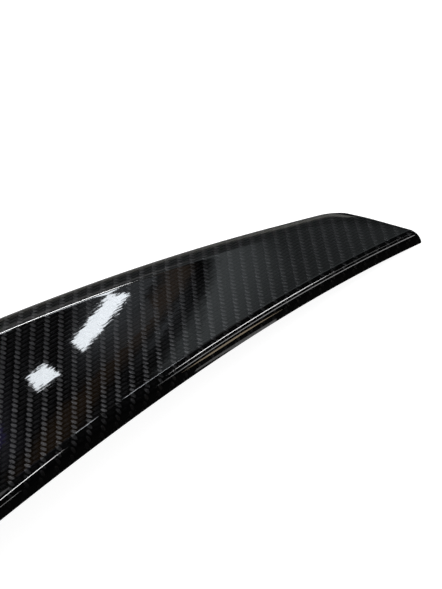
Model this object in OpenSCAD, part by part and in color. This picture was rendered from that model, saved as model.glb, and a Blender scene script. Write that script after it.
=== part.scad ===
// Boot lid spoiler: a low ducktail moulded as one carbon-fibre laminate.
// X runs across the car, Y to the rear and Z up. The origin is on the boot lid, at the middle of the front edge.
// The skin is lofted through sections that stand at even steps across the car.

/* [Plan] */
// Width across the car, tip to tip
span = 1160; // [1000:10:1400]
// Front to rear depth at the middle
chord_mid = 131; // [110:1:160]
// Front to rear depth at the cut end
chord_end = 47; // [42:1:60]
// How late the depth tapers off, from the middle to the end
taper_power = 1.6; // [1.4:0.05:2.2]
// How far the tips reach ahead of the middle
sweep = 34; // [10:1:60]
// How late the front edge turns forward
sweep_power = 4.5; // [3:0.1:5]
// Radius of the rear corner of the cut end, seen from above
corner_r = 10; // [6:0.5:14]
// Radius of the front tip, seen from above
tip_r = 1.5; // [1:0.5:4]

/* [Heights] */
// Drop of the boot lid from its middle to the tips
crown = 49; // [10:1:60]
// Height of the front edge at the middle
nose_h_mid = 7.5; // [7:0.5:10]
// Height of the front edge at the tips
nose_h_end = 6.5; // [6:0.5:8]
// Height of the kicked-up crest at the middle
crest_h_mid = 26; // [20:1:45]
// Height of the crest at the ends
crest_h_end = 6.5; // [6:0.5:9]
// Share of the rise that comes late, which makes the top hollow
dish = 0.58; // [0.2:0.02:0.8]

/* [Edges] */
// Depth of the rolled front edge, front to rear
nose_d = 5.5; // [4.5:0.5:7]
// Width of the lip behind the crest at the middle
lip_w_mid = 16; // [14:0.5:20]
// Width of the lip behind the crest at the ends
lip_w_end = 14.5; // [12:0.5:17]
// Fall of the lip from the crest to the trailing edge
lip_fall = 0.6; // [0.2:0.1:1.5]
// Reach of the softened crease at the crest, each way
crease_reach = 1; // [0.5:0.5:4]
// Radius of the trailing edge
tail_r = 5; // [3.5:0.5:6]
// Forward lean of the rear face, in degrees
tail_rake = 24; // [5:1:35]
// Radius of the roll down to the cut end
end_r = 2.6; // [2:0.2:5]

/* [Laminate] */
// Thickness of the laminate
wall = 2; // [1.5:0.1:2.2]
// Width of the bonding flange under each long edge
flange_w = 12; // [8:0.5:14]
// Length of the solid blade at each end
blade = 70; // [60:5:120]

/* [Hidden] */

half = span / 2;
// Length over which the cavity closes at the solid blade
closing = 2;
// Steps of each stretch of the section and of the span
nose_steps = 6;
top_steps = 10;
crease_steps = 3;
tail_steps = 7;
span_steps = 22;
blade_steps = 5;
corner_steps = 7;

// Share of the half width that lies inboard of x
function share(x) = min(abs(x) / half, 1);
function blend(mid, end, t) = mid + (end - mid) * t;
// Setback of a rounded corner of radius r, at x near the end
function round_off(x, r) = let (d = max(abs(x) - (half - r), 0)) r - sqrt(max(r * r - d * d, 0));

function nose_y(x) = -sweep * pow(share(x), sweep_power) + round_off(x, tip_r);
function tail_y(x) =
    -sweep * pow(share(x), sweep_power)
    + blend(chord_mid, chord_end, pow(share(x), taper_power))
    - round_off(x, corner_r);
function base_z(x) = -crown * share(x) * share(x);
function nose_h(x) = blend(nose_h_mid, nose_h_end, share(x) * share(x));
function crest_h(x) = blend(crest_h_mid, crest_h_end, share(x) * share(x));
function lip_w(x) = blend(lip_w_mid, lip_w_end, share(x) * share(x));
// Share of the height that is left where the top rolls down to the cut end
function end_share(x) = 1 - round_off(x, end_r) / nose_h_end;

// Height of the hollow top, with t from the nose to the crest
function top_z(x, t) =
    nose_h(x) + (crest_h(x) - nose_h(x)) * ((1 - dish) * t + dish * t * t);
// A point of a bent line from a to c that b pulls towards itself
function bend(a, b, c, t) = (1 - t) * (1 - t) * a + 2 * t * (1 - t) * b + t * t * c;

// Rolled front edge, from the boot lid up to the top
function nose_points(x) = [
    for (i = [0 : nose_steps])
        let (a = 90 * i / nose_steps)
        [nose_y(x) + nose_d * (1 - cos(a)), nose_h(x) * sin(a)]
];

// Hollow top, the softened crest and the lip behind it
function top_points(x) =
    let (
        front = nose_y(x) + nose_d,
        crest_y = tail_y(x) - lip_w(x),
        run = crest_y - front,
        t_end = 1 - crease_reach / run,
        before = [front + run * t_end, top_z(x, t_end)],
        crest = [crest_y, crest_h(x)],
        after = [crest_y + crease_reach, crest_h(x) - lip_fall * crease_reach / lip_w(x)]
    )
    concat(
        [for (i = [1 : top_steps - 1]) let (t = t_end * i / top_steps) [front + run * t, top_z(x, t)]],
        [for (i = [0 : crease_steps]) bend(before, crest, after, i / crease_steps)]
    );

// Trailing edge and the rear face that leans forward under it
function tail_points(x) =
    let (
        edge_h = crest_h(x) - lip_fall,
        r = min(tail_r, 0.9 * edge_h / (1 + sin(tail_rake))),
        centre = [tail_y(x) - r, edge_h - r],
        low = centre[1] - r * sin(tail_rake),
        foot_y = centre[0] + r * cos(tail_rake) - low * tan(tail_rake)
    )
    concat(
        [
            for (i = [0 : tail_steps])
                let (a = 90 - (90 + tail_rake) * i / tail_steps)
                centre + r * [cos(a), sin(a)]
        ],
        [[foot_y, 0]]
    );

// Outside of the section, from one flange's inner edge round to the other's
function outer_points(x) =
    let (
        body = concat(nose_points(x), top_points(x), tail_points(x)),
        scaled = [for (p = body) [p[0], p[1] * end_share(x)]],
        first = scaled[0],
        last = scaled[len(scaled) - 1]
    )
    concat([first + [flange_w, 0]], scaled, [last - [flange_w, 0]]);

function unit(v) = v / norm(v);
// The normal that points into the laminate from the stretch a to b
function inward(a, b) = let (u = unit(b - a)) [u[1], -u[0]];
// Inside of the section, one wall thickness in from the outside
function inner_points(pts) =
    let (last = len(pts) - 1)
    [
        for (i = [0 : last])
            i == 0 || i == last
                ? pts[i] + [0, wall]
                : let (n = inward(pts[i - 1], pts[i]), m = inward(pts[i], pts[i + 1]))
                  pts[i] + wall * (n + m) / (1 + n * m)
    ];
// In the solid blade the inside lies flat in the underside, between the flanges' inner edges
function closed_points(pts) =
    let (last = len(pts) - 1, from = pts[0], to = pts[last])
    [for (i = [0 : last]) from + (to - from) * (i + 1) / (last + 2)];

// One ring of the loft: the outside, then the inside on its way back
function ring(x) =
    let (
        outer = outer_points(x),
        open = abs(x) <= half - blade,
        inner = open ? inner_points(outer) : closed_points(outer),
        last = len(outer) - 1
    )
    [
        for (p = concat(outer, [for (i = [last : -1 : 0]) inner[i]]))
            [x, p[0], p[1] + base_z(x)]
    ];

// Places of the rings from the middle to one end, closer together where the outline turns
cavity_end = half - blade;
corner_from = half - max(corner_r, end_r);
right_half = concat(
    [for (i = [1 : span_steps]) cavity_end * i / span_steps],
    [for (i = [0 : blade_steps - 1]) blend(cavity_end + closing, corner_from, i / blade_steps)],
    [for (i = [0 : corner_steps]) blend(corner_from, half, sin(90 * i / corner_steps))]
);
places = concat(
    [for (i = [len(right_half) - 1 : -1 : 0]) -right_half[i]],
    [0],
    right_half
);

// Middle of the end face that a ring of the solid blade bounds
function face_centre(r) = let (front = r[1], top = r[floor(len(r) / 4)]) (front + top) / 2;

// Closed mesh through a list of rings with as many points each
module loft(rings) {
    count = len(rings[0]);
    last = len(rings) - 1;
    far = last * count;
    near_centre = len(rings) * count;
    far_centre = near_centre + 1;
    points = concat([for (r = rings) each r], [face_centre(rings[0]), face_centre(rings[last])]);
    sides = [
        for (k = [0 : last - 1], i = [0 : count - 1])
            let (
                j = (i + 1) % count,
                a = k * count + i,
                b = k * count + j,
                c = a + count,
                d = b + count
            )
            each [[a, c, b], [b, c, d]]
    ];
    ends = [
        for (i = [0 : count - 1])
            let (j = (i + 1) % count)
            each [[i, j, near_centre], [far + j, far + i, far_centre]]
    ];
    polyhedron(points = points, faces = concat(sides, ends), convexity = 8);
}

module spoiler() {
    color([0.06, 0.06, 0.065]) loft([for (x = places) ring(x)]);
}

spoiler();
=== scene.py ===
# %% [markdown]
# # A carbon-fibre boot lid spoiler
# The object is one moulded laminate: woven carbon cloth under a polished clear coat.
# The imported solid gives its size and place. This lesson makes the smooth skin that is seen,
# drapes the weave over it, and lights it so that the gloss draws its curves.

# %% Load the frame
import math
from functools import partial

import bpy
import numpy as np
from mathutils import Matrix, Vector


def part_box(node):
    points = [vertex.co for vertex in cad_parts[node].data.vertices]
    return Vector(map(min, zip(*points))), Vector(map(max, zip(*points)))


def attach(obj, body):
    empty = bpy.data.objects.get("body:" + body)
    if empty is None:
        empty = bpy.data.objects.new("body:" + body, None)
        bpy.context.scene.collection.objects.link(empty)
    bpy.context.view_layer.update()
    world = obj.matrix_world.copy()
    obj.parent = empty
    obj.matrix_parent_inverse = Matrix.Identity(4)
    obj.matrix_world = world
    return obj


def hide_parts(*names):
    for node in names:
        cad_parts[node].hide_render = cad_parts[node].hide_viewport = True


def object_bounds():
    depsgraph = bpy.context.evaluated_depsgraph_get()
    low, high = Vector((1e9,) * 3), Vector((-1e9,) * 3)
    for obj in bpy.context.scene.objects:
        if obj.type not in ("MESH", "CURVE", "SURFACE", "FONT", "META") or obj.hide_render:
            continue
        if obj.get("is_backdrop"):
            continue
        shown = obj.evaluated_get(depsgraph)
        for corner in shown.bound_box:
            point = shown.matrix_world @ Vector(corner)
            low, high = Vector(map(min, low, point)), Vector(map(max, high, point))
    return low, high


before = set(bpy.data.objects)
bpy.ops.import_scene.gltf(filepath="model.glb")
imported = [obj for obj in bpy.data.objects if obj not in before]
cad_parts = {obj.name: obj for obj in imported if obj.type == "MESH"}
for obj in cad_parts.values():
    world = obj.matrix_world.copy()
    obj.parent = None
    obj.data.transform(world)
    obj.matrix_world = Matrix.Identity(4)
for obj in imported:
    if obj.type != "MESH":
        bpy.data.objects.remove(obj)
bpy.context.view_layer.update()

# %% [markdown]
# ## The camera
# The photograph looks over the front edge towards the rear of the right-hand end, from above.
# A camera that is turned to face a target stands level, but the photograph was taken with a slight
# tilt. So the camera's own three axes are worked out here, roll included, and set as its rotation.
# The lens is given in pixels of the photograph, which is 442 of them wide, and turned into millimetres.

# %% Set up the camera
PHOTO_WIDTH = 442
FOCAL_PIXELS = 1314.6
SENSOR_WIDTH = 36
NEAR_CLIP = 0.01
CAMERA_PLACE = (0.1466, -0.2919, 0.3182)
CAMERA_AZIMUTH = math.radians(41.9)
CAMERA_ELEVATION = math.radians(37.285)
CAMERA_ROLL = math.radians(-10.1)


def look_axes(azimuth, elevation, roll):
    """Right, up and forward of a camera, as unit vectors."""
    forward = Vector((
        math.cos(azimuth) * math.cos(elevation),
        math.sin(azimuth) * math.cos(elevation),
        -math.sin(elevation),
    ))
    level_right = Vector((math.sin(azimuth), -math.cos(azimuth), 0))
    level_up = level_right.cross(forward)
    right = level_right * math.cos(roll) + level_up * math.sin(roll)
    return right, right.cross(forward), forward


def add_camera():
    lens = bpy.data.cameras.new("camera")
    lens.sensor_fit = "HORIZONTAL"
    lens.sensor_width = SENSOR_WIDTH
    lens.lens = FOCAL_PIXELS / PHOTO_WIDTH * SENSOR_WIDTH
    lens.clip_start = NEAR_CLIP
    camera = bpy.data.objects.new("camera", lens)
    right, up, forward = look_axes(CAMERA_AZIMUTH, CAMERA_ELEVATION, CAMERA_ROLL)
    turn = Matrix((right, up, -forward)).transposed()
    camera.matrix_world = Matrix.Translation(CAMERA_PLACE) @ turn.to_4x4()
    bpy.context.scene.collection.objects.link(camera)
    bpy.context.scene.camera = camera
    print("camera lens:", round(lens.lens, 1), "mm on a", SENSOR_WIDTH, "mm sensor")


add_camera()

# %% [markdown]
# ## The section
# A spoiler is designed as a section that changes as it crosses the car: a rolled nose, a hollow top
# that kicks up to a crest, a narrow lip, a round trailing edge, a rear face that leans forward, and a
# bonding flange under each long edge. It could be pulled into shape from a bent box, but gloss shows
# every dent. So the section is worked out from the solid's own sizes, in metres, with finer steps.

# %% Driving sizes
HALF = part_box("spoiler")[1].x
CHORD_MID, CHORD_END, TAPER_POWER = 0.131, 0.047, 1.6
SWEEP, SWEEP_POWER = 0.034, 4.5
CORNER_R, TIP_R, END_R = 0.010, 0.0015, 0.0026
CROWN = 0.049
NOSE_H_MID, NOSE_H_END, NOSE_D = 0.0075, 0.0065, 0.0055
CREST_H_MID, CREST_H_END, DISH = 0.026, 0.0065, 0.58
LIP_W_MID, LIP_W_END, LIP_FALL = 0.016, 0.0145, 0.0006
CREASE_REACH = 0.001
# The trailing edge's radius stays within this share of the height that it has to fit in
TAIL_R, TAIL_RAKE, TAIL_SHARE = 0.005, math.radians(24), 0.9
WALL, FLANGE_W, BLADE, CLOSING = 0.002, 0.012, 0.070, 0.002


def share(x):
    """Share of the half width that lies inboard of x."""
    return min(abs(x) / HALF, 1)


def blend(mid, end, t):
    return mid + (end - mid) * t


def round_off(x, r):
    """Setback of a rounded corner of radius r, at x near the end."""
    d = max(abs(x) - (HALF - r), 0)
    return r - math.sqrt(max(r * r - d * d, 0))


def nose_y(x):
    return -SWEEP * share(x) ** SWEEP_POWER + round_off(x, TIP_R)


def tail_y(x):
    depth = blend(CHORD_MID, CHORD_END, share(x) ** TAPER_POWER)
    return -SWEEP * share(x) ** SWEEP_POWER + depth - round_off(x, CORNER_R)


def base_z(x):
    """Height of the boot lid, which falls away towards the tips."""
    return -CROWN * share(x) ** 2


print("depth at the middle and at the end:", CHORD_MID, CHORD_END, "m")

# %% [markdown]
# ## Nose, top and tail
# Each stretch of the section has its own function, as it has its own job on the car. A point is
# (y, height above the boot lid). The steps are many where the section turns tightly, because the
# gloss would show flat spots there, and the top has many too, as the long reflections run over it.

# %% Points of the outside
NOSE_STEPS, TOP_STEPS, CREASE_STEPS, TAIL_STEPS = 16, 40, 8, 16


def top_h(nose_h, crest_h, t):
    """Height of the hollow top, with t from the nose to the crest."""
    return nose_h + (crest_h - nose_h) * ((1 - DISH) * t + DISH * t * t)


def bend(a, b, c, t):
    """A point of a bent line from a to c that b pulls towards itself."""
    return (1 - t) ** 2 * a + 2 * t * (1 - t) * b + t * t * c


def nose_points(x, nose_h):
    """Rolled front edge, from the boot lid up to the top."""
    angles = [math.pi / 2 * i / NOSE_STEPS for i in range(NOSE_STEPS + 1)]
    return [(nose_y(x) + NOSE_D * (1 - math.cos(a)), nose_h * math.sin(a)) for a in angles]


def top_points(x, nose_h, crest_h):
    """Hollow top and the softened crest."""
    lip_w = blend(LIP_W_MID, LIP_W_END, share(x) ** 2)
    front = nose_y(x) + NOSE_D
    crest_y = tail_y(x) - lip_w
    run = crest_y - front
    t_end = 1 - CREASE_REACH / run
    top = [t_end * i / TOP_STEPS for i in range(1, TOP_STEPS)]
    before = np.array((front + run * t_end, top_h(nose_h, crest_h, t_end)))
    crest = np.array((crest_y, crest_h))
    after = np.array((crest_y + CREASE_REACH, crest_h - LIP_FALL * CREASE_REACH / lip_w))
    crease = [tuple(bend(before, crest, after, i / CREASE_STEPS)) for i in range(CREASE_STEPS + 1)]
    return [(front + run * t, top_h(nose_h, crest_h, t)) for t in top] + crease


def tail_points(x, crest_h):
    """Round trailing edge and the rear face that leans forward under it."""
    edge_h = crest_h - LIP_FALL
    r = min(TAIL_R, TAIL_SHARE * edge_h / (1 + math.sin(TAIL_RAKE)))
    centre_y, centre_h = tail_y(x) - r, edge_h - r
    angles = [math.pi / 2 - (math.pi / 2 + TAIL_RAKE) * i / TAIL_STEPS for i in range(TAIL_STEPS + 1)]
    low = centre_h - r * math.sin(TAIL_RAKE)
    foot_y = centre_y + r * math.cos(TAIL_RAKE) - low * math.tan(TAIL_RAKE)
    return [(centre_y + r * math.cos(a), centre_h + r * math.sin(a)) for a in angles] + [(foot_y, 0)]


nose, tail = nose_points(0, NOSE_H_MID), tail_points(0, CREST_H_MID)
print("points on the nose:", len(nose), "and on the tail:", len(tail))

# %% [markdown]
# ## The wall
# The laminate is 2 mm thick, and open underneath between its flanges. A Solidify modifier could give
# it that wall, but the last 70 mm at each end are solid. So each ring holds the outside and then the
# inside on its way back, and in the solid blade the inside simply lies flat in the underside.

# %% One closed ring
# Points closer than this count as one
WELD = 1e-6


def outer_points(x):
    """Outside of the section at x, from one flange's inner edge round to the other's."""
    across = share(x) ** 2
    nose_h = blend(NOSE_H_MID, NOSE_H_END, across)
    crest_h = blend(CREST_H_MID, CREST_H_END, across)
    points = nose_points(x, nose_h) + top_points(x, nose_h, crest_h) + tail_points(x, crest_h)
    rolled = 1 - round_off(x, END_R) / NOSE_H_END
    points = [(y, h * rolled) for y, h in points]
    return np.array([(points[0][0] + FLANGE_W, 0), *points, (points[-1][0] - FLANGE_W, 0)])


def inner_points(pts):
    """Inside of the section, one wall thickness in from the outside."""
    steps = np.diff(pts, axis=0)
    steps /= np.linalg.norm(steps, axis=1)[:, None]
    normals = np.stack([steps[:, 1], -steps[:, 0]], 1)
    n, m = normals[:-1], normals[1:]
    inside = pts[1:-1] + WALL * (n + m) / (1 + np.sum(n * m, axis=1))[:, None]
    return np.vstack([pts[0] + (0, WALL), inside, pts[-1] + (0, WALL)])


def closed_points(pts):
    """In the solid blade the inside lies flat in the underside, between the flanges' inner edges."""
    count = len(pts)
    t = (np.arange(count) + 1)[:, None] / (count + 1)
    return pts[0] + (pts[-1] - pts[0]) * t


def section(x):
    """One closed ring at x, as (y, z): the outside, then the inside on its way back."""
    outer = outer_points(x)
    inner = inner_points(outer) if abs(x) <= HALF - BLADE + WELD else closed_points(outer)
    return np.vstack([outer, inner[::-1]]) + (0, base_z(x))


sample = section(0)
OUTER_COUNT = len(sample) // 2
print("points in a ring:", len(sample), "height at the middle:", round(float(sample[:, 1].max()), 4))

# %% [markdown]
# ## Where the rings stand
# The rings are even along the hollow part, and come closer together where the outline turns at the
# cut ends, because a round corner needs more steps than a long gentle curve.

# %% Places of the rings
SPAN_STEPS, BLADE_STEPS, CORNER_STEPS = 120, 18, 16

cavity_end = HALF - BLADE
corner_from = HALF - max(CORNER_R, END_R)
right_half = [cavity_end * i / SPAN_STEPS for i in range(1, SPAN_STEPS + 1)]
right_half += [blend(cavity_end + CLOSING, corner_from, i / BLADE_STEPS) for i in range(BLADE_STEPS)]
right_half += [
    blend(corner_from, HALF, math.sin(math.pi / 2 * i / CORNER_STEPS)) for i in range(CORNER_STEPS + 1)
]
places = [-x for x in reversed(right_half)] + [0.0] + right_half
rings = [section(x) for x in places]
print("rings:", len(places))

# %% [markdown]
# ## The cloth
# Carbon cloth is laid flat and then draped into the mould. The skin starts the same way: as a flat
# grid, whose own flat place is kept as the UV map, in metres of cloth. The weave then follows the
# surface. Towards the ends the cloth turns a little with the swept edge, as it does on the real part.

# %% Flat place of each point of the cloth
# The cloth has turned by this much at this place across the car
CLOTH_TURN = math.radians(4.7)
TURN_AT = 0.455
# Column of the grid where the nose ends: the flange's inner edge comes first, then the nose
NOSE_TOP = 1 + NOSE_STEPS


def cloth_place(x, ring, run_x):
    """Cloth coordinates of a ring's points: along the span, and round the section."""
    steps = np.linalg.norm(np.diff(ring, axis=0), axis=1)
    round_section = np.concatenate([[0], np.cumsum(steps)])
    v = ring[NOSE_TOP, 0] + round_section - round_section[NOSE_TOP]
    turn = math.tan(CLOTH_TURN) * x / TURN_AT
    return run_x - turn * v, v + turn * x / 2


def cloth_map():
    """The flat place of every ring's points, with the first point repeated to close the ring."""
    runs = [0.0]
    for a, b in zip(places[:-1], places[1:]):
        runs.append(runs[-1] + math.hypot(b - a, base_z(b) - base_z(a)))
    middle = runs[len(places) // 2]
    flat = []
    for x, ring, run_x in zip(places, rings, runs):
        u, v = cloth_place(x, np.vstack([ring, ring[:1]]), run_x - middle)
        flat.append(np.stack([u, v], 1))
    return np.array(flat)


cloth = cloth_map()
print("cloth across the car:", round(float(np.ptp(cloth[:, OUTER_COUNT // 2, 0])), 3), "m")


# %% Drape a grid over the mould
def deselect_all():
    bpy.ops.object.select_all(action="DESELECT")


def drape_skin():
    """A flat grid, placed point by point on the mould, and the column of the grid of each point."""
    row_steps, column_steps = len(places) - 1, len(rings[0])
    deselect_all()
    bpy.ops.mesh.primitive_grid_add(x_subdivisions=row_steps, y_subdivisions=column_steps, size=1)
    skin = bpy.context.active_object
    skin.name = skin.data.name = "laminate_skin"
    flat = np.array([v.co[:2] for v in skin.data.vertices])
    row = np.rint((flat[:, 0] + 0.5) * row_steps).astype(int)
    column = np.rint((flat[:, 1] + 0.5) * column_steps).astype(int)
    closed = np.array([np.vstack([ring, ring[:1]]) for ring in rings])
    place = np.column_stack([np.array(places)[row], closed[row, column]])
    skin.data.vertices.foreach_set("co", place.astype(np.float32).ravel())
    corner = np.zeros(len(skin.data.loops), int)
    skin.data.loops.foreach_get("vertex_index", corner)
    uv = cloth[row[corner], column[corner]]
    skin.data.uv_layers.active.name = "cloth"
    skin.data.uv_layers.active.data.foreach_set("uv", uv.astype(np.float32).ravel())
    return skin, column


skin, skin_column = drape_skin()
print("grid points:", len(skin.data.vertices))

# %% [markdown]
# ## Marks on the grid
# While the grid's columns are still known, three things are noted on it. The nose meets the top at a
# slight fold, which stays sharp so that it draws a clean line. The broad top is marked, since only
# there the coat gets its ripple: on the tight nose and crest a ripple would break up the fine lines.
# And the faces are sorted. The outside has the polished coat, and the flanges, the hollow and the
# blades' undersides stay as they came out of the vacuum bag: dull laminate.

# %% Fold, ripple and finish
OUTSIDE, UNDERSIDE = 0, 1


def fold_nose(skin, column):
    for edge in skin.data.edges:
        edge.use_edge_sharp = all(column[i] == NOSE_TOP for i in edge.vertices)


def mark_flat_top(skin, column):
    """1 on the broad top and 0 elsewhere."""
    on_top = (column > NOSE_TOP) & (column < NOSE_STEPS + TOP_STEPS)
    flat_top = skin.data.attributes.new("flat_top", "FLOAT", "POINT")
    flat_top.data.foreach_set("value", on_top.astype(np.float32))


def sort_faces(skin, column):
    """The outside runs from the foot of the nose to the foot of the rear face, flanges left out."""
    last_outside = OUTER_COUNT - 3
    for face in skin.data.polygons:
        first = min(column[i] for i in face.vertices)
        face.material_index = OUTSIDE if 1 <= first <= last_outside else UNDERSIDE


mark_flat_top(skin, skin_column)
fold_nose(skin, skin_column)
sort_faces(skin, skin_column)
print("sharp edges:", sum(edge.use_edge_sharp for edge in skin.data.edges))

# %% [markdown]
# ## Closing the skin
# The grid is rolled up but still open along its seam and at both ends. Merging by distance welds the
# seam. Only the two end rings are then open edges, and filling those holes makes the flat cut ends.
# The cloth there has no place yet, so it simply gets the place where the end stands.

# %% Weld the seam and close the ends
SMOOTH_UNDER = math.radians(32)


def edit(obj):
    deselect_all()
    obj.select_set(True)
    bpy.context.view_layer.objects.active = obj
    bpy.ops.object.mode_set(mode="EDIT")


def close_skin(skin):
    edit(skin)
    bpy.ops.mesh.select_all(action="SELECT")
    bpy.ops.mesh.remove_doubles(threshold=WELD)
    bpy.ops.mesh.select_all(action="DESELECT")
    bpy.ops.mesh.select_mode(type="EDGE")
    bpy.ops.mesh.select_non_manifold()
    bpy.ops.mesh.fill_holes(sides=0)
    bpy.ops.mesh.select_all(action="SELECT")
    bpy.ops.mesh.normals_make_consistent(inside=False)
    bpy.ops.object.mode_set(mode="OBJECT")
    bpy.ops.object.shade_smooth_by_angle(angle=SMOOTH_UNDER)


def map_cut_ends(skin):
    """The cut ends are the only faces with more than four corners."""
    uv = skin.data.uv_layers["cloth"].data
    for face in skin.data.polygons:
        if len(face.vertices) > 4:
            face.material_index = OUTSIDE
            for corner in face.loop_indices:
                y, z = skin.data.vertices[skin.data.loops[corner].vertex_index].co[1:]
                uv[corner].uv = (y, z)


close_skin(skin)
map_cut_ends(skin)
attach(skin, "root")
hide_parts("spoiler")
print("faces of the skin:", len(skin.data.polygons))

# %% [markdown]
# ## The weave
# In 2x2 twill each tow goes over two and under two, one step further along in each row, which draws
# diagonal lines. A picture of cloth could be laid on, but it would blur close up. So a node group
# works out, for a place on the cloth, which tow is on top, how that tow's surface leans there, how
# dark the gap beside it is, with painted shade where the float dives, and how bright its fibres are,
# with painted shade on the warp. First come helpers that keep it short.

# %% Small helpers for node trees
# Sockets of A, of B and of the result in a Mix node, for each kind of data
MIX_SOCKETS = {"FLOAT": (2, 3, 0), "VECTOR": (4, 5, 1), "RGBA": (6, 7, 2)}


def link(tree, value, socket):
    """Join a socket to another, or set its value where value is a plain one."""
    if isinstance(value, bpy.types.NodeSocket):
        tree.links.new(value, socket)
    else:
        socket.default_value = value


def math_node(tree, operation, *values, clamp=False):
    node = tree.nodes.new("ShaderNodeMath")
    node.operation = operation
    node.use_clamp = clamp
    for value, socket in zip(values, node.inputs):
        link(tree, value, socket)
    return node.outputs[0]


def mix(tree, kind, factor, a, b, blend_type="MIX"):
    node = tree.nodes.new("ShaderNodeMix")
    node.data_type = kind
    node.blend_type = blend_type
    socket_a, socket_b, result = MIX_SOCKETS[kind]
    for value, index in zip((factor, a, b), (0, socket_a, socket_b)):
        link(tree, value, node.inputs[index])
    return node.outputs[result]


def combine(tree, x, y, z):
    node = tree.nodes.new("ShaderNodeCombineXYZ")
    for value, socket in zip((x, y, z), node.inputs):
        link(tree, value, socket)
    return node.outputs[0]


def split(tree, vector):
    """The three parts of a vector."""
    node = tree.nodes.new("ShaderNodeSeparateXYZ")
    tree.links.new(vector, node.inputs[0])
    return node.outputs


def noise(tree, vector, detail, roughness):
    """A noise texture whose scale comes from the vector alone."""
    node = tree.nodes.new("ShaderNodeTexNoise")
    link(tree, vector, node.inputs["Vector"])
    node.inputs["Scale"].default_value = 1.0
    node.inputs["Detail"].default_value = detail
    node.inputs["Roughness"].default_value = roughness
    return node.outputs


print("kinds of data that mix() knows:", list(MIX_SOCKETS))

# %% [markdown]
# ## One float of a tow
# A float is the stretch of a tow that lies on top. It is round across, it dives under its neighbours
# at both ends, and fine fibres run along it. Each of these leans its surface a little. The lean
# becomes a normal later, so that each float catches the light as a bundle of fibres does.

# %% Where a place lies, and how the surface leans there
# Tows after which the pattern repeats, and the halfway mark between warp and weft on top
REPEAT, WEFT_FROM = 4.0, 1.5
# The fibres are drawn out along a tow and fine across it, and the weft's are shifted from the warp's
GRAIN_ALONG, GRAIN_ACROSS, WEFT_SHIFT = 0.35, 9.0, 7.0
GRAIN_DETAIL, GRAIN_ROUGHNESS = 3.0, 0.7


def place_on_float(tree, a, b):
    """1 where the weft is on top, and the place across and along its float, from -0.5 to 0.5."""
    calc = partial(math_node, tree)
    cell_a, cell_b = calc("FLOOR", a), calc("FLOOR", b)
    part_a, part_b = calc("SUBTRACT", a, cell_a), calc("SUBTRACT", b, cell_b)
    step = calc("FLOORED_MODULO", calc("SUBTRACT", cell_a, cell_b), REPEAT)
    weft = calc("GREATER_THAN", step, WEFT_FROM)
    across = calc("SUBTRACT", mix(tree, "FLOAT", weft, part_b, part_a), 0.5)
    warp_run = calc("ADD", step, part_a)
    weft_run = calc("ADD", calc("SUBTRACT", REPEAT - 1, step), part_b)
    runs = [calc("SUBTRACT", calc("MULTIPLY", run, 0.5), 0.5) for run in (warp_run, weft_run)]
    return weft, across, mix(tree, "FLOAT", weft, *runs)


def fibre_grain(tree, a, b, weft):
    """Streaks along whichever tow is on top, about zero."""
    calc = partial(math_node, tree)
    warp_place = combine(tree, calc("MULTIPLY", a, GRAIN_ALONG), calc("MULTIPLY", b, GRAIN_ACROSS), 0.0)
    weft_place = combine(
        tree, calc("MULTIPLY", a, GRAIN_ACROSS), calc("MULTIPLY", b, GRAIN_ALONG), WEFT_SHIFT
    )
    place = mix(tree, "VECTOR", weft, warp_place, weft_place)
    return calc("SUBTRACT", noise(tree, place, GRAIN_DETAIL, GRAIN_ROUGHNESS)["Fac"], 0.5)


def float_lean(tree, given, grain, weft, across, along):
    """The lean in both directions of the cloth, written as a normal map has it: 0.5 is level."""
    calc = partial(math_node, tree)
    round_lean = calc("MULTIPLY", calc("MULTIPLY", across, 2.0), given.outputs["Crown"])
    grain_lean = calc("MULTIPLY", calc("MULTIPLY", grain, 2.0), given.outputs["Fibre"])
    lean_across = calc("ADD", round_lean, grain_lean)
    twice = calc("MULTIPLY", along, 2.0)
    cubed = calc("MULTIPLY", twice, calc("MULTIPLY", twice, twice))
    lean_along = calc("MULTIPLY", cubed, given.outputs["Dive"])
    lean_u = mix(tree, "FLOAT", weft, lean_along, lean_across)
    lean_v = mix(tree, "FLOAT", weft, lean_across, lean_along)
    halves = [calc("ADD", calc("MULTIPLY", lean, 0.5), 0.5) for lean in (lean_u, lean_v)]
    return combine(tree, *halves, 1.0)


print("fibre streaks are", round(GRAIN_ACROSS / GRAIN_ALONG), "times as long as they are wide")

# %% [markdown]
# ## Gap, painted shade and tone
# Resin fills the small hollows between the floats, and they look black. The same dark colour is
# painted over the sides and ends of each float, where it dives: painted shade, which leaves a bead of
# highlight in its middle. Each float also differs a little from the next. On real cloth the two
# directions shine in turn, as their fibres face the light or not. In the light that the scene is set
# up for, the weft shines, so the warp gets painted shade: a darker carbon colour.

# %% Gap, painted shade and tone of a float
# A float's reach to its side and its end, and where the painted shade of gaps and dives begins and how
# fast it rises
FLOAT_SIDE, FLOAT_END, GAP_FROM, GAP_RISE = 0.5, 0.4, 0.45, 1.6
# Tows that share a tone, how far tones differ, and a step that keeps weft and warp tows apart
TONE_STRETCH, TONE_SPREAD, WEFT_STEP = 6.0, 0.35, 0.37


def gap_shade(tree, across, along):
    """Painted shade with the dark of the resin gaps: 0 on the middle of a float, and up to 1 at its
    sides and ends.
    """
    calc = partial(math_node, tree)
    side = calc("POWER", calc("DIVIDE", across, FLOAT_SIDE), 2.0)
    end = calc("POWER", calc("DIVIDE", along, FLOAT_END), 2.0)
    from_middle = calc("ADD", side, end)
    return calc("MULTIPLY", calc("SUBTRACT", from_middle, GAP_FROM), GAP_RISE, clamp=True)


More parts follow.
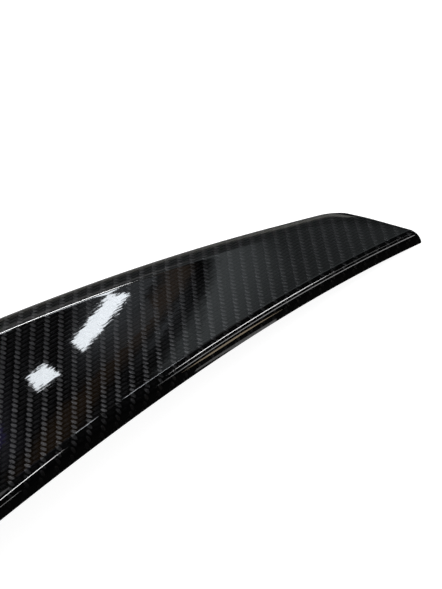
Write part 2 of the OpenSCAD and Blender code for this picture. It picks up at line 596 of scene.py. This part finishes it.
def float_tone_and_shade(tree, given, a, b, weft):
    """How bright the carbon of a float is: about 1 for the weft and darker for the warp, which is
    painted shade, with a random spread from tow to tow.
    """
    calc = partial(math_node, tree)
    tow = mix(tree, "FLOAT", weft, calc("FLOOR", b), calc("ADD", calc("FLOOR", a), WEFT_STEP))
    stretch = calc("FLOOR", calc("DIVIDE", calc("ADD", a, b), TONE_STRETCH))
    chance = tree.nodes.new("ShaderNodeTexWhiteNoise")
    chance.noise_dimensions = "2D"
    link(tree, combine(tree, tow, stretch, 0.0), chance.inputs["Vector"])
    spread = calc("MULTIPLY", calc("SUBTRACT", chance.outputs["Value"], 0.5), TONE_SPREAD)
    # The warp's lower value is painted shade: its fibres are drawn as if they faced away from the light
    tone = mix(tree, "FLOAT", weft, given.outputs["Warp Painted Shade"], 1.0)
    return calc("MULTIPLY", calc("ADD", spread, 1.0), tone)


print("tones run from", 1 - TONE_SPREAD / 2, "to", 1 + TONE_SPREAD / 2)

# %% [markdown]
# ## The twill group
# The steps above go into one node group with named inputs, because two finishes use the weave: the
# polished outside and the dull underside, each with its own values.

# %% Build the twill
TOW = 0.002


def new_group(name, inputs, outputs):
    group = bpy.data.node_groups.new(name, "ShaderNodeTree")
    for label, kind, value in inputs:
        socket = group.interface.new_socket(label, in_out="INPUT", socket_type=kind)
        if value is not None:
            socket.default_value = value
    for label, kind in outputs:
        group.interface.new_socket(label, in_out="OUTPUT", socket_type=kind)
    return group, group.nodes.new("NodeGroupInput"), group.nodes.new("NodeGroupOutput")


def build_twill():
    group, given, result = new_group(
        "twill_2x2",
        [
            ("Cloth", "NodeSocketVector", None),
            ("Tow Width", "NodeSocketFloat", TOW),
            ("Crown", "NodeSocketFloat", 0.3),
            ("Dive", "NodeSocketFloat", 0.35),
            ("Fibre", "NodeSocketFloat", 0.2),
            # Painted shade of the warp: how dark its carbon is drawn beside the lit weft
            ("Warp Painted Shade", "NodeSocketFloat", 0.12),
        ],
        [("Tone", "NodeSocketFloat"), ("Gap And Painted Shade", "NodeSocketFloat"), ("Lean", "NodeSocketVector")],
    )
    u, v = split(group, given.outputs["Cloth"])[:2]
    a, b = (math_node(group, "DIVIDE", part, given.outputs["Tow Width"]) for part in (u, v))
    weft, across, along = place_on_float(group, a, b)
    grain = fibre_grain(group, a, b, weft)
    link(group, float_lean(group, given, grain, weft, across, along), result.inputs["Lean"])
    link(group, gap_shade(group, across, along), result.inputs["Gap And Painted Shade"])
    link(group, float_tone_and_shade(group, given, a, b, weft), result.inputs["Tone"])
    return group


twill = build_twill()
print("nodes in the twill group:", len(twill.nodes))

# %% [markdown]
# ## The two finishes
# Carbon fibre shines like a dark metal, so the coated finish is a metal, with the clear coat as a
# second, sharp layer over it. The coat isn't quite flat: polishing along the span leaves long, very
# shallow ripples, which lean the coat's own normal and leave the weave alone. The underside has no
# coat, is rougher and greyer, and shows both directions of its cloth.

# %% A laminate material
def cloth_uv(tree):
    node = tree.nodes.new("ShaderNodeUVMap")
    node.uv_map = "cloth"
    return node.outputs[0]


def cloth_normal(tree, lean, strength=1.0):
    """A lean that was worked out on the cloth, as a normal on the surface."""
    node = tree.nodes.new("ShaderNodeNormalMap")
    node.uv_map = "cloth"
    link(tree, strength, node.inputs["Strength"])
    link(tree, lean, node.inputs["Color"])
    return node.outputs[0]


def laminate_material(name, carbon, gap_and_shade_colour, weave_values, shader_values):
    """Carbon in the twill, with values for the inputs of the twill group and of the shader."""
    material = bpy.data.materials.new(name)
    material.use_nodes = True
    tree = material.node_tree
    shader = tree.nodes["Principled BSDF"]
    weave = tree.nodes.new("ShaderNodeGroup")
    weave.node_tree = twill
    link(tree, cloth_uv(tree), weave.inputs["Cloth"])
    # Tone holds a random spread from tow to tow and the warp's painted shade
    tone = combine(tree, *[weave.outputs["Tone"]] * 3)
    toned = mix(tree, "RGBA", 1.0, (*carbon, 1), tone, "MULTIPLY")
    # The gap colour is dark resin between floats and painted shade over their diving sides and ends
    link(tree, mix(tree, "RGBA", weave.outputs["Gap And Painted Shade"], toned, (*gap_and_shade_colour, 1)), shader.inputs["Base Color"])
    link(tree, cloth_normal(tree, weave.outputs["Lean"]), shader.inputs["Normal"])
    for node, values in ((weave, weave_values), (shader, shader_values)):
        for label, value in values.items():
            node.inputs[label].default_value = value
    return material


weave_inputs = [socket.name for socket in twill.interface.items_tree if socket.in_out == "INPUT"]
print("inputs of the weave:", weave_inputs)

# %% Polished outside and dull underside
COAT_RIPPLE = 0.006
# Ripples per metre along the span and round the section
RIPPLE_SCALE = (250, 1400, 1)
RIPPLE_DETAIL, RIPPLE_ROUGHNESS = 2.0, 0.5
# Tint of the shine at a glancing angle, which keeps the weave dark there
GLANCE_TINT = (0.5, 0.5, 0.5, 1)


def add_ripple(material):
    """Shallow ripples in the coat, where the skin is marked as flat top."""
    tree = material.node_tree
    stretched = tree.nodes.new("ShaderNodeMapping")
    stretched.inputs["Scale"].default_value = RIPPLE_SCALE
    link(tree, cloth_uv(tree), stretched.inputs["Vector"])
    ripple = noise(tree, stretched.outputs[0], RIPPLE_DETAIL, RIPPLE_ROUGHNESS)["Color"]
    on_top = tree.nodes.new("ShaderNodeAttribute")
    on_top.attribute_name = "flat_top"
    strength = math_node(tree, "MULTIPLY", on_top.outputs["Fac"], COAT_RIPPLE)
    coat_normal = tree.nodes["Principled BSDF"].inputs["Coat Normal"]
    link(tree, cloth_normal(tree, ripple, strength), coat_normal)


coated = laminate_material(
    "coated_carbon",
    carbon=(0.022, 0.022, 0.023),
    # Dark resin in the gaps, also painted as shade where each float dives
    gap_and_shade_colour=(0.001, 0.001, 0.001),
    # The warp's value is painted shade, since only the weft is taken as lit
    weave_values={"Crown": 0.25, "Dive": 0.3, "Fibre": 0.3, "Warp Painted Shade": 0.12},
    shader_values={
        "Metallic": 1.0, "Roughness": 0.4, "Specular Tint": GLANCE_TINT,
        "Coat Weight": 1.0, "Coat Roughness": 0.02,
    },
)
add_ripple(coated)
raw = laminate_material(
    "raw_carbon",
    carbon=(0.045, 0.045, 0.047),
    # Grey of the resin gaps, also painted as shade where each float dives
    gap_and_shade_colour=(0.02, 0.02, 0.02),
    # A milder painted shade on the warp of the underside
    weave_values={"Crown": 0.2, "Dive": 0.3, "Fibre": 0.2, "Warp Painted Shade": 0.7},
    shader_values={"Metallic": 0.2, "Roughness": 0.55, "Specular Tint": GLANCE_TINT},
)
skin.data.materials.append(coated)
skin.data.materials.append(raw)
dull = sum(face.material_index == UNDERSIDE for face in skin.data.polygons)
print("materials:", [m.name for m in skin.data.materials], "dull faces:", dull)

# %% [markdown]
# ## The floor and the world
# The photograph's ground is plain white. A lamp could make a floor that white, but it would flood the
# object too. So floor and world glow white for the rays that see them directly or by diffuse light,
# and the floor keeps just enough grey of its own to show the object's soft shadow. The gloss is
# another matter: in the photograph it mirrors a dark room. So mirrored rays see a floor that is dark
# in front of the part and pale behind it.

# %% Light of a surface
WHITE = (1, 1, 1)


def smooth_step(tree, value, low, high):
    """0 up to low, 1 from high on, and a soft rise between them."""
    node = tree.nodes.new("ShaderNodeMapRange")
    node.interpolation_type = "SMOOTHSTEP"
    link(tree, value, node.inputs["Value"])
    node.inputs["From Min"].default_value = low
    node.inputs["From Max"].default_value = high
    return node.outputs["Result"]


def emission(tree, strength, colour=WHITE):
    node = tree.nodes.new("ShaderNodeEmission")
    node.inputs["Color"].default_value = (*colour, 1)
    link(tree, strength, node.inputs["Strength"])
    return node.outputs[0]


def mix_shader(tree, factor, a, b):
    node = tree.nodes.new("ShaderNodeMixShader")
    for value, socket in zip((factor, a, b), node.inputs):
        link(tree, value, socket)
    return node.outputs[0]


def background_rays(tree):
    """The light path, and 1 for the rays that see the white ground: camera, transmission, diffuse."""
    ray = tree.nodes.new("ShaderNodeLightPath")
    seen = math_node(tree, "MAXIMUM", ray.outputs["Is Camera Ray"], ray.outputs["Is Transmission Ray"])
    return ray, math_node(tree, "MAXIMUM", seen, ray.outputs["Is Diffuse Ray"])


print("ground colour:", WHITE)

# %% Floor
FLOOR_SIZE = 40.0
FLOOR_GLOW = 0.9
FLOOR_GREY = 0.3
FLOOR_ROUGHNESS, FLOOR_SHINE = 0.9, 0.1
DARK_IN_GLOSS, PALE_IN_GLOSS = 0.03, 0.9
# Distances behind the origin between which the mirrored floor turns pale
PALE_FROM, PALE_TO = 0.12, 0.35


def floor_surface(tree):
    """Grey with a white glow, and for mirrored rays dark in front and pale behind."""
    shader = tree.nodes["Principled BSDF"]
    shader.inputs["Base Color"].default_value = (FLOOR_GREY, FLOOR_GREY, FLOOR_GREY, 1)
    shader.inputs["Roughness"].default_value = FLOOR_ROUGHNESS
    shader.inputs["Specular IOR Level"].default_value = FLOOR_SHINE
    ray, seen = background_rays(tree)
    lit = tree.nodes.new("ShaderNodeAddShader")
    link(tree, shader.outputs[0], lit.inputs[0])
    link(tree, emission(tree, math_node(tree, "MULTIPLY", seen, FLOOR_GLOW)), lit.inputs[1])
    place = tree.nodes.new("ShaderNodeTexCoord")
    behind = smooth_step(tree, split(tree, place.outputs["Object"])[1], PALE_FROM, PALE_TO)
    mirrored = emission(tree, mix(tree, "FLOAT", behind, DARK_IN_GLOSS, PALE_IN_GLOSS))
    return ray, mix_shader(tree, ray.outputs["Is Glossy Ray"], lit.outputs[0], mirrored)


def add_floor():
    """The ground under the part, which a camera below it looks through."""
    deselect_all()
    bpy.ops.mesh.primitive_plane_add(size=FLOOR_SIZE, location=(0, 0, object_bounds()[0][2]))
    floor = bpy.context.active_object
    floor.name = "floor"
    material = bpy.data.materials.new("floor_white")
    material.use_nodes = True
    tree = material.node_tree
    ray, surface = floor_surface(tree)
    side = tree.nodes.new("ShaderNodeNewGeometry")
    clear = tree.nodes.new("ShaderNodeBsdfTransparent")
    from_below = math_node(tree, "MULTIPLY", side.outputs["Backfacing"], ray.outputs["Is Camera Ray"])
    both = mix_shader(tree, from_below, surface, clear.outputs[0])
    link(tree, both, tree.nodes["Material Output"].inputs[0])
    floor.data.materials.append(material)
    floor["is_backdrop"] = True
    return floor


floor = add_floor()
print("floor at", round(floor.location.z, 4), "m")

# %% [markdown]
# ## The room
# The world stands for the rest of the room. It is nearly black in the gloss on the side that the
# photograph's view mirrors, since the lamps and cards below are to be seen against it. The other side
# is a dim grey, so that the part's shape can also be read from elsewhere.

# %% World
ROOM_TINT = (0.9, 0.95, 1.0)
ROOM_DARK, ROOM_DIM = 0.02, 0.4
# How far a mirrored ray leans to the left where the room turns from dark to dim
DIM_FROM, DIM_TO = 0.05, 0.6


def set_world():
    world = bpy.data.worlds.new("studio")
    bpy.context.scene.world = world
    world.use_nodes = True
    tree = world.node_tree
    background = tree.nodes["Background"]
    seen = background_rays(tree)[1]
    link(tree, mix(tree, "RGBA", seen, (*ROOM_TINT, 1), (*WHITE, 1)), background.inputs["Color"])
    way = tree.nodes.new("ShaderNodeTexCoord")
    to_left = math_node(tree, "MULTIPLY", split(tree, way.outputs["Generated"])[0], -1.0)
    dim_side = smooth_step(tree, to_left, DIM_FROM, DIM_TO)
    room = mix(tree, "FLOAT", dim_side, ROOM_DARK, ROOM_DIM)
    link(tree, mix(tree, "FLOAT", seen, room, 1.0), background.inputs["Strength"])
    return world


print("world:", set_world().name)

# %% [markdown]
# ## Bright lamps
# A black gloss has hardly any colour of its own: what draws it is what it mirrors. Each lamp stands
# where a line of sight, thrown back by the surface, meets a ceiling 1.5 m up. They could be area
# lights, but those are only rectangles or ellipses, and a glowing plane can have any four corners.
# The camera doesn't see the planes, and they cast no shadows.

# %% Planes that only the object sees
CEILING = 1.5


def glow(tree, strength, colour):
    link(tree, emission(tree, strength, colour), tree.nodes["Material Output"].inputs[0])


def glowing_plane(name, location, turn=0.0):
    """A plane that the camera doesn't see, and the node tree of its new material."""
    deselect_all()
    bpy.ops.mesh.primitive_plane_add(size=1, location=location, rotation=(0, 0, math.radians(turn)))
    plane = bpy.context.active_object
    plane.name = name
    plane.visible_camera = False
    plane.visible_shadow = False
    material = bpy.data.materials.new(name)
    material.use_nodes = True
    plane.data.materials.append(material)
    plane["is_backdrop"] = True
    return plane, material.node_tree


def ceiling_panel(name, corners, radiance, colour):
    """A panel in the ceiling, given by its four corners."""
    panel, tree = glowing_plane(name, (0, 0, CEILING))
    for vertex, corner in zip(panel.data.vertices, corners):
        vertex.co[:2] = corner
    glow(tree, radiance, colour)


def ceiling_strip(name, start, end, width, radiance):
    """A narrow lamp in the ceiling between two places."""
    a, b = Vector(start), Vector(end)
    step = (b - a).normalized() * width / 2
    side = Vector((-step.y, step.x))
    ceiling_panel(name, (a - side, b - side, a + side, b + side), radiance, WHITE)


print("ceiling at", CEILING, "m")

# %% Panels and strips
LAMP_WHITE = (0.9, 0.95, 1.0)
LAMP_BLUE = (0.4, 0.35, 1.0)

# The long and the square lamp on the top, and a faint blue one at the picture's left
BAR_CORNERS = ((1.905, 0.930), (2.085, 0.866), (1.945, 0.995), (2.176, 0.918))
SQUARE_CORNERS = ((1.731, 0.945), (1.796, 0.935), (1.753, 1.003), (1.843, 1.005))
BLUE_CORNERS = ((1.57, 1.02), (1.615, 1.01), (1.57, 1.07), (1.615, 1.07))
ceiling_panel("panel_bar", BAR_CORNERS, radiance=15, colour=LAMP_WHITE)
ceiling_panel("panel_square", SQUARE_CORNERS, radiance=15, colour=LAMP_WHITE)
ceiling_panel("panel_blue", BLUE_CORNERS, radiance=0.4, colour=LAMP_BLUE)
# The fine bright lines along the rolled nose
ceiling_strip("strip_left", start=(1.45, -1.45), end=(1.52, -1.00), width=0.06, radiance=35)
ceiling_strip("strip_left_far", start=(3.60, -7.20), end=(3.85, -7.10), width=1.2, radiance=6)
ceiling_strip("strip_right", start=(1.84, -0.86), end=(2.17, -0.99), width=0.16, radiance=24)
ceiling_strip("strip_right_end", start=(2.17, -1.02), end=(2.26, -1.09), width=0.25, radiance=2)
ceiling_strip("strip_far", start=(2.53, -2.79), end=(2.79, -2.62), width=0.70, radiance=4.5)

# %% [markdown]
# ## Soft lamps
# Area lights do the rest of the lighting. The row at the rear draws the line along the crest. The two
# soft ones light the rear and the top, so that other views aren't left in the dark.

# %% Area lights
def ceiling_lamp(name, middle, size, radiance, colour=WHITE):
    """A flat lamp in the ceiling that faces down, as bright all over as radiance says."""
    lamp = bpy.data.lights.new(name, "AREA")
    lamp.shape = "RECTANGLE"
    lamp.size, lamp.size_y = size
    lamp.energy = radiance * math.pi * size[0] * size[1]
    lamp.color = colour
    obj = bpy.data.objects.new(name, lamp)
    obj.location = (*middle, CEILING)
    bpy.context.scene.collection.objects.link(obj)


ceiling_lamp("row_rear", middle=(1.91, 1.53), size=(1.5, 0.22), radiance=35)
ceiling_lamp("soft_rear", middle=(0.65, 1.08), size=(1.5, 0.5), radiance=1.0, colour=LAMP_WHITE)
ceiling_lamp("soft_top", middle=(0.0, 0.0), size=(2.6, 1.5), radiance=1.0)
print("area lights:", len(bpy.data.lights))

# %% [markdown]
# ## Dim cards
# Between the lamps the gloss shows paler and browner fields with soft edges. A card just above the
# ceiling's lamps stands for each. Its glow comes from the distance to its own edges in metres, so a
# soft edge keeps its width whatever the size of the card.

# %% Cards with soft edges
CARD_LEVEL = 1.52
HAZE_BLUE = (0.85, 0.92, 1.0)
HAZE_VIOLET = (0.8, 0.8, 1.0)


def ceiling_card(name, middle, size, turn, level=CARD_LEVEL):
    """The card's node tree, with the distances along its two sides in metres."""
    card, tree = glowing_plane(name, (*middle, level), turn)
    card.scale = (*size, 1)
    place = tree.nodes.new("ShaderNodeUVMap")
    parts = split(tree, place.outputs[0])
    return tree, *(math_node(tree, "MULTIPLY", parts[i], size[i]) for i in range(2))


def from_sides(tree, distance, width):
    """Distance from the nearer of two sides that are width apart."""
    return math_node(tree, "MINIMUM", distance, math_node(tree, "SUBTRACT", width, distance))


def haze_card(name, middle, size, turn, level, colour, edge):
    """A dim card that fades out over edge metres on every side."""
    tree, *along = ceiling_card(name, middle, size, turn)
    for distance, width in zip(along, size):
        fade = smooth_step(tree, from_sides(tree, distance, width), 0.0, edge)
        level = math_node(tree, "MULTIPLY", level, fade)
    glow(tree, level, colour)


haze_card(
    "haze_bar", middle=(2.26, 0.97), size=(0.78, 0.6), turn=25, level=0.38, colour=HAZE_BLUE, edge=0.22
)
haze_card(
    "haze_left", middle=(1.62, 0.92), size=(0.2, 0.6), turn=0, level=0.12, colour=HAZE_VIOLET, edge=0.1
)

# %% [markdown]
# ## The pale wall, the far end and the brown strip
# The right of the top mirrors a pale wall that begins at a slanting edge: bright beside it, dimmer
# further off. Behind everything lies the bright far end of the room, low over the horizon, and
# between the lamps and the wall runs a strip of brown.

# %% Wall, far end and strip
WALL_EDGE, WALL_TURN, WALL_SIZE = (2.4245, 1.1212), 64.8, (14.0, 24.0)
WALL_COLOUR = (0.88, 0.97, 1.0)
WALL_GLOW, WALL_BLUR = 0.585, (0.05, 0.16)
# Between these distances from the edge the wall's glow drops by the amount that follows
WALL_DROPS = (((0.08, 0.72), 0.43), ((1.5, 2.4), 0.08))
FAR_EDGE, FAR_TURN, FAR_SIZE = (6.554, 4.665), 111.3, (30.0, 30.0)
# The far end lies a little under the wall's card, which it crosses
FAR_LEVEL = CARD_LEVEL - 0.005
FAR_COLOUR, FAR_DIM, FAR_GLOW, FAR_BLUR = (1.0, 1.0, 0.93), 0.07, 0.42, 0.18
WOOD_MIDDLE, WOOD_TURN, WOOD_SIZE = (2.135, 1.10), -15, (1.1, 0.17)
WOOD_COLOUR, WOOD_LEFT, WOOD_RIGHT = (1.0, 0.57, 0.25), 0.11, 0.2
WOOD_BRIGHTENS, WOOD_BLUR = (0.3, 0.8), 0.07


def room_card(name, edge, turn, size, level=CARD_LEVEL):
    """A large card that begins at an edge and goes on from it in the direction of turn."""
    away = Vector((math.cos(math.radians(turn)), math.sin(math.radians(turn))))
    tree, distance, _ = ceiling_card(name, Vector(edge) + away * size[0] / 2, size, turn, level)
    return tree, distance


def add_wall():
    tree, distance = room_card("wall_grey", WALL_EDGE, WALL_TURN, WALL_SIZE)
    level = WALL_GLOW
    for (start, end), drop in WALL_DROPS:
        dropped = math_node(tree, "MULTIPLY", smooth_step(tree, distance, start, end), drop)
        level = math_node(tree, "SUBTRACT", level, dropped)
    glow(tree, math_node(tree, "MULTIPLY", smooth_step(tree, distance, *WALL_BLUR), level), WALL_COLOUR)


def add_far_glow():
    tree, distance = room_card("far_glow", FAR_EDGE, FAR_TURN, FAR_SIZE, FAR_LEVEL)
    rising = smooth_step(tree, distance, 0.0, FAR_BLUR)
    glow(tree, mix(tree, "FLOAT", rising, FAR_DIM, FAR_GLOW), FAR_COLOUR)


def add_wood():
    tree, along, across = ceiling_card("wood", WOOD_MIDDLE, WOOD_SIZE, WOOD_TURN)
    fade = smooth_step(tree, from_sides(tree, across, WOOD_SIZE[1]), 0.0, WOOD_BLUR)
    level = mix(tree, "FLOAT", smooth_step(tree, along, *WOOD_BRIGHTENS), WOOD_LEFT, WOOD_RIGHT)
    glow(tree, math_node(tree, "MULTIPLY", fade, level), WOOD_COLOUR)


add_wall()
add_far_glow()
add_wood()
# A dim line along the lip behind the crest
ceiling_strip("strip_lip", start=(3.0, 3.05), end=(7.5, 4.5), width=0.12, radiance=0.32)
print("wall begins at", WALL_EDGE, "and the far end at", FAR_EDGE)

# %% [markdown]
# ## Two cards in front of the nose
# The lower half of the nose faces ahead and mirrors what stands low in front of it: a golden line
# and a pale rim. Two small cards make them. The golden one shines in a narrow beam, only towards the
# stretch of the nose that shows it, and so it stays out of other views.

# %% Low cards
# Direction in plan from the nose to the cards
AHEAD_ANGLE = math.radians(-60)
AHEAD = Vector((math.cos(AHEAD_ANGLE), math.sin(AHEAD_ANGLE), 0))
UP = Vector((0, 0, 1))
GOLD_PLACE, GOLD_SIZE, GOLD_RADIANCE = (0.7635, -0.5145, 0.0325), (0.04, 0.09), 4.0
GOLD_COLOUR = (1.0, 0.83, 0.6)
# Height of the golden card over the nose as an angle, and the half angles of its beam
GOLD_ELEVATION = math.radians(5)
BEAM_EDGE, BEAM_FULL = math.cos(math.radians(11)), math.cos(math.radians(8))
RIM_PLACE, RIM_SIZE, RIM_RADIANCE = (0.480, -0.043, -0.048), (0.04, 0.022), 1.2


def low_card(name, middle, size, rise):
    """A small card across the view ahead of the nose, whose second side runs along rise."""
    card, tree = glowing_plane(name, middle)
    side = Vector((-AHEAD.y, AHEAD.x, 0))
    for vertex in card.data.vertices:
        vertex.co = side * vertex.co.x * size[0] + rise * vertex.co.y * size[1]
    return tree


def within_beam(tree):
    """1 for a ray that comes from the nose, and 0 from any other side."""
    axis = AHEAD * math.cos(GOLD_ELEVATION) + UP * math.sin(GOLD_ELEVATION)
    ray = tree.nodes.new("ShaderNodeNewGeometry")
    facing = tree.nodes.new("ShaderNodeVectorMath")
    facing.operation = "DOT_PRODUCT"
    link(tree, ray.outputs["Incoming"], facing.inputs[0])
    facing.inputs[1].default_value = -axis
    return smooth_step(tree, facing.outputs["Value"], BEAM_EDGE, BEAM_FULL)


gold = low_card("card_gold", GOLD_PLACE, GOLD_SIZE, UP)
glow(gold, math_node(gold, "MULTIPLY", within_beam(gold), GOLD_RADIANCE), GOLD_COLOUR)
glow(low_card("card_white", RIM_PLACE, RIM_SIZE, AHEAD), RIM_RADIANCE, WHITE)
print("low cards at", GOLD_PLACE, "and", RIM_PLACE)

# %% [markdown]
# ## Finish
# The Standard view shows colours as they were written.

# %% Finish
bpy.context.scene.view_settings.view_transform = "Standard"
bpy.context.view_layer.update()
